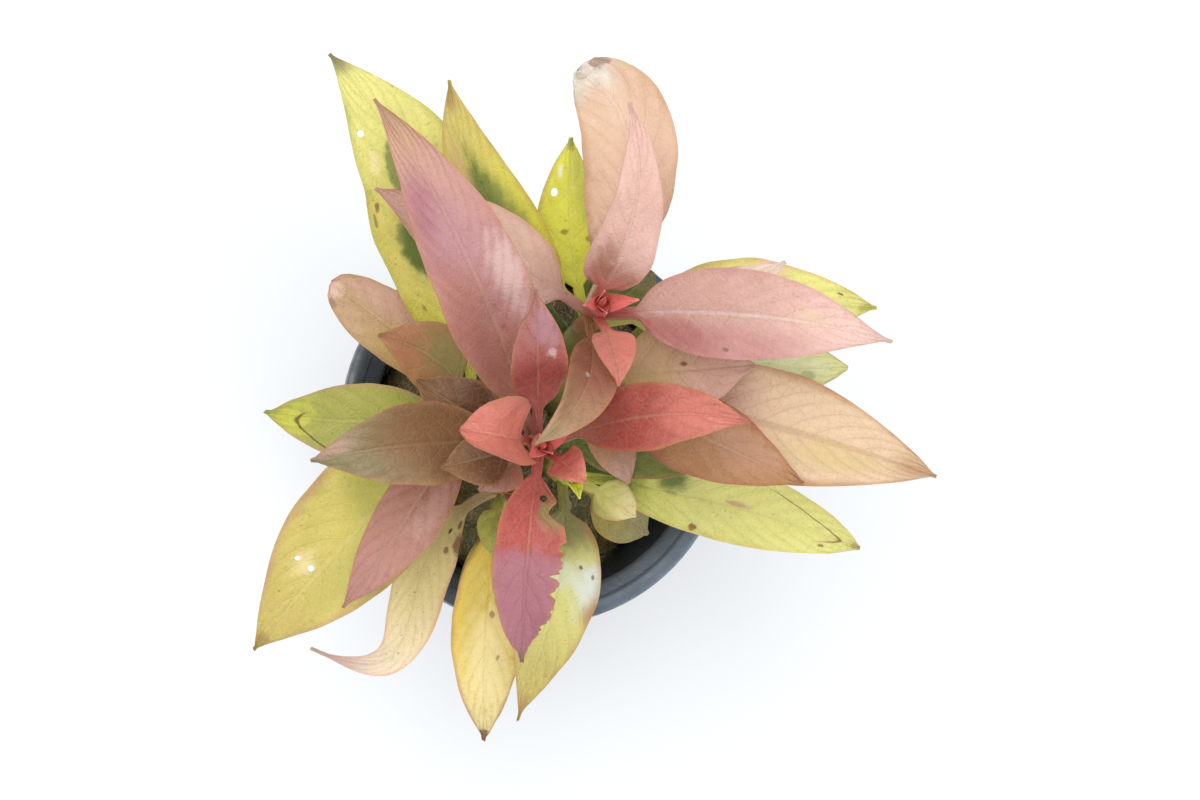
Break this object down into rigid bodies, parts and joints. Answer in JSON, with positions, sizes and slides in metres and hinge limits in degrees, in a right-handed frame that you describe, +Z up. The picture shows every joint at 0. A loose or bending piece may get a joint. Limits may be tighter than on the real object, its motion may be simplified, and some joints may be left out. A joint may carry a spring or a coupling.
{
  "type": "potted aquarium plant",
  "caption": "Leafy stem cuttings of a compact water plant, red and pink above and yellow below, rooted in a fibrous plug in a small tapered net pot.",
  "frame": {"origin": "centre of the pot's flat foot, on the surface that it stands on", "axes": "+Z up along the pot's axis; +Y towards the two tall shoots' rear leaves and +X towards the longest tan leaf"},
  "size_m": [0.0916, 0.0945, 0.1194],
  "materials": {
    "pot_plastic": "black moulded plastic with a soft sheen",
    "rockwool": "damp fibrous rockwool, brown-green",
    "stem": "fresh green-brown stem",
    "leaf_salmon": "thin translucent leaf, salmon",
    "leaf_crimson": "thin translucent leaf, crimson",
    "leaf_maroon": "thin translucent leaf, maroon",
    "leaf_magenta": "thin translucent leaf, magenta",
    "leaf_rose": "thin translucent leaf, rose",
    "leaf_brown": "thin translucent leaf, brown",
    "leaf_olive": "thin translucent leaf, olive",
    "leaf_pink": "thin translucent leaf, pink",
    "leaf_peach": "thin translucent leaf, peach",
    "leaf_tan": "thin translucent leaf, tan",
    "leaf_lime": "thin translucent leaf, lime",
    "leaf_moss": "thin translucent leaf, moss",
    "leaf_green": "thin translucent leaf, green",
    "leaf_yellow": "thin translucent leaf, yellow",
    "leaf_gold": "thin translucent leaf, gold"
  },
  "bodies": {
    "root": {"net_pot": "pot_plastic", "rockwool_plug": "rockwool", "stem_main": "stem", "leaf_main_1": "leaf_salmon", "leaf_main_2": "leaf_crimson", "leaf_main_3": "leaf_maroon", "leaf_main_4": "leaf_magenta", "leaf_main_5": "leaf_salmon", "leaf_main_6": "leaf_maroon", "leaf_main_7": "leaf_rose", "leaf_main_8": "leaf_magenta", "leaf_main_9": "leaf_brown", "leaf_main_10": "leaf_brown", "leaf_main_11": "leaf_olive", "stem_rear": "stem", "leaf_rear_1": "leaf_pink", "leaf_rear_2": "leaf_pink", "leaf_rear_3": "leaf_pink", "leaf_rear_4": "leaf_rose", "leaf_rear_5": "leaf_peach", "leaf_rear_6": "leaf_tan", "leaf_rear_7": "leaf_olive", "leaf_rear_8": "leaf_lime", "leaf_rear_9": "leaf_peach", "leaf_rear_10": "leaf_lime", "leaf_rear_11": "leaf_moss", "leaf_rear_12": "leaf_green", "leaf_rear_13": "leaf_moss", "stem_middle": "stem", "leaf_middle_1": "leaf_rose", "leaf_middle_2": "leaf_tan", "leaf_middle_3": "leaf_brown", "leaf_middle_4": "leaf_lime", "leaf_middle_5": "leaf_brown", "leaf_middle_6": "leaf_moss", "leaf_middle_7": "leaf_green", "stem_left": "stem", "leaf_left_1": "leaf_yellow", "leaf_left_2": "leaf_tan", "leaf_left_3": "leaf_brown", "leaf_left_4": "leaf_olive", "leaf_left_5": "leaf_yellow", "leaf_left_6": "leaf_rose", "leaf_left_7": "leaf_moss", "stem_front": "stem", "leaf_front_1": "leaf_gold", "leaf_front_2": "leaf_gold", "leaf_front_3": "leaf_green", "leaf_front_4": "leaf_brown", "leaf_front_5": "leaf_olive", "stem_right": "stem", "leaf_right_1": "leaf_lime", "leaf_right_2": "leaf_lime", "leaf_right_3": "leaf_olive", "leaf_right_4": "leaf_green", "leaf_right_5": "leaf_moss"}
  },
  "joints": []
}
